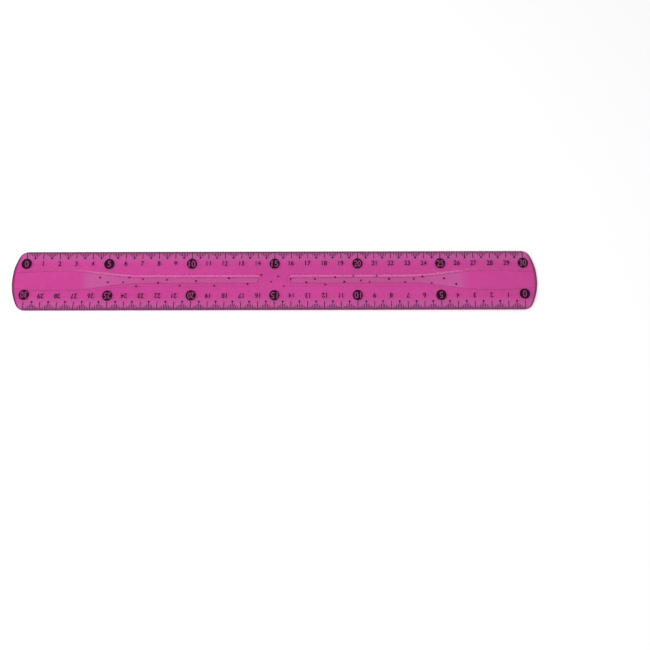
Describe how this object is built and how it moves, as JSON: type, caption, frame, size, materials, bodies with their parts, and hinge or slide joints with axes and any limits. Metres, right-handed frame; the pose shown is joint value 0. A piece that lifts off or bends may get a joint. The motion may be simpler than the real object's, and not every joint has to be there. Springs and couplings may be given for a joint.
{
  "type": "flexible ruler",
  "caption": "Thin soft see-through ruler with a centimetre scale along each long edge, sunken panels down the middle and rounded ends, which bends freely into a loop.",
  "frame": {"origin": "middle of the flat underside", "axes": "+X along the ruler towards the 30 end of the upper scale, +Y across it towards the upper scale, +Z out of the printed side"},
  "size_m": [0.316, 0.039, 0.0012],
  "materials": {
    "strip": "soft see-through magenta plastic, moulded smooth and glossy",
    "ink": "black printing ink"
  },
  "bodies": {
    "centre": {"centre_length": "strip", "centre_ink": "ink"},
    "left_1": {"left_web_1": "strip", "left_length_1": "strip", "left_ink_1": "ink"},
    "left_2": {"left_web_2": "strip", "left_length_2": "strip", "left_ink_2": "ink"},
    "left_3": {"left_web_3": "strip", "left_length_3": "strip", "left_ink_3": "ink"},
    "left_4": {"left_web_4": "strip", "left_length_4": "strip", "left_ink_4": "ink"},
    "left_5": {"left_web_5": "strip", "left_length_5": "strip", "left_ink_5": "ink"},
    "left_6": {"left_web_6": "strip", "left_length_6": "strip", "left_ink_6": "ink"},
    "left_7": {"left_web_7": "strip", "left_length_7": "strip", "left_ink_7": "ink"},
    "left_8": {"left_web_8": "strip", "left_length_8": "strip", "left_ink_8": "ink"},
    "right_1": {"right_web_1": "strip", "right_length_1": "strip", "right_ink_1": "ink"},
    "right_2": {"right_web_2": "strip", "right_length_2": "strip", "right_ink_2": "ink"},
    "right_3": {"right_web_3": "strip", "right_length_3": "strip", "right_ink_3": "ink"},
    "right_4": {"right_web_4": "strip", "right_length_4": "strip", "right_ink_4": "ink"},
    "right_5": {"right_web_5": "strip", "right_length_5": "strip", "right_ink_5": "ink"},
    "right_6": {"right_web_6": "strip", "right_length_6": "strip", "right_ink_6": "ink"},
    "right_7": {"right_web_7": "strip", "right_length_7": "strip", "right_ink_7": "ink"},
    "right_8": {"right_web_8": "strip", "right_length_8": "strip", "right_ink_8": "ink"}
  },
  "joints": [
    {"name": "left_bend_1", "type": "hinge", "parent": "centre", "child": "left_1", "pos_m": [-0.0065, 0, 0.0006], "axis": [0, 1, 0], "range_deg": [-22, 22], "stiffness_Nm_per_rad": 0.056, "deforming": ["left_web_1"]},
    {"name": "left_bend_2", "type": "hinge", "parent": "left_1", "child": "left_2", "pos_m": [-0.0265, 0, 0.0006], "axis": [0, 1, 0], "range_deg": [-27, 27], "stiffness_Nm_per_rad": 0.056, "deforming": ["left_web_2"]},
    {"name": "left_bend_3", "type": "hinge", "parent": "left_2", "child": "left_3", "pos_m": [-0.0465, 0, 0.0006], "axis": [0, 1, 0], "range_deg": [-27, 27], "stiffness_Nm_per_rad": 0.056, "deforming": ["left_web_3"]},
    {"name": "left_bend_4", "type": "hinge", "parent": "left_3", "child": "left_4", "pos_m": [-0.0665, 0, 0.0006], "axis": [0, 1, 0], "range_deg": [-27, 27], "stiffness_Nm_per_rad": 0.056, "deforming": ["left_web_4"]},
    {"name": "left_bend_5", "type": "hinge", "parent": "left_4", "child": "left_5", "pos_m": [-0.0865, 0, 0.0006], "axis": [0, 1, 0], "range_deg": [-27, 27], "stiffness_Nm_per_rad": 0.056, "deforming": ["left_web_5"]},
    {"name": "left_bend_6", "type": "hinge", "parent": "left_5", "child": "left_6", "pos_m": [-0.1065, 0, 0.0006], "axis": [0, 1, 0], "range_deg": [-27, 27], "stiffness_Nm_per_rad": 0.056, "deforming": ["left_web_6"]},
    {"name": "left_bend_7", "type": "hinge", "parent": "left_6", "child": "left_7", "pos_m": [-0.1265, 0, 0.0006], "axis": [0, 1, 0], "range_deg": [-27, 27], "stiffness_Nm_per_rad": 0.056, "deforming": ["left_web_7"]},
    {"name": "left_bend_8", "type": "hinge", "parent": "left_7", "child": "left_8", "pos_m": [-0.1465, 0, 0.0006], "axis": [0, 1, 0], "range_deg": [-27, 27], "stiffness_Nm_per_rad": 0.056, "deforming": ["left_web_8"]},
    {"name": "right_bend_1", "type": "hinge", "parent": "centre", "child": "right_1", "pos_m": [0.0065, 0, 0.0006], "axis": [0, -1, 0], "range_deg": [-21, 21], "stiffness_Nm_per_rad": 0.056, "deforming": ["right_web_1"]},
    {"name": "right_bend_2", "type": "hinge", "parent": "right_1", "child": "right_2", "pos_m": [0.0265, 0, 0.0006], "axis": [0, -1, 0], "range_deg": [-26, 26], "stiffness_Nm_per_rad": 0.056, "deforming": ["right_web_2"]},
    {"name": "right_bend_3", "type": "hinge", "parent": "right_2", "child": "right_3", "pos_m": [0.0465, 0, 0.0006], "axis": [0, -1, 0], "range_deg": [-26, 26], "stiffness_Nm_per_rad": 0.056, "deforming": ["right_web_3"]},
    {"name": "right_bend_4", "type": "hinge", "parent": "right_3", "child": "right_4", "pos_m": [0.0665, 0, 0.0006], "axis": [0, -1, 0], "range_deg": [-26, 26], "stiffness_Nm_per_rad": 0.056, "deforming": ["right_web_4"]},
    {"name": "right_bend_5", "type": "hinge", "parent": "right_4", "child": "right_5", "pos_m": [0.0865, 0, 0.0006], "axis": [0, -1, 0], "range_deg": [-26, 26], "stiffness_Nm_per_rad": 0.056, "deforming": ["right_web_5"]},
    {"name": "right_bend_6", "type": "hinge", "parent": "right_5", "child": "right_6", "pos_m": [0.1065, 0, 0.0006], "axis": [0, -1, 0], "range_deg": [-26, 26], "stiffness_Nm_per_rad": 0.056, "deforming": ["right_web_6"]},
    {"name": "right_bend_7", "type": "hinge", "parent": "right_6", "child": "right_7", "pos_m": [0.1265, 0, 0.0006], "axis": [0, -1, 0], "range_deg": [-26, 26], "stiffness_Nm_per_rad": 0.056, "deforming": ["right_web_7"]},
    {"name": "right_bend_8", "type": "hinge", "parent": "right_7", "child": "right_8", "pos_m": [0.1465, 0, 0.0006], "axis": [0, -1, 0], "range_deg": [-26, 26], "stiffness_Nm_per_rad": 0.056, "deforming": ["right_web_8"]}
  ]
}
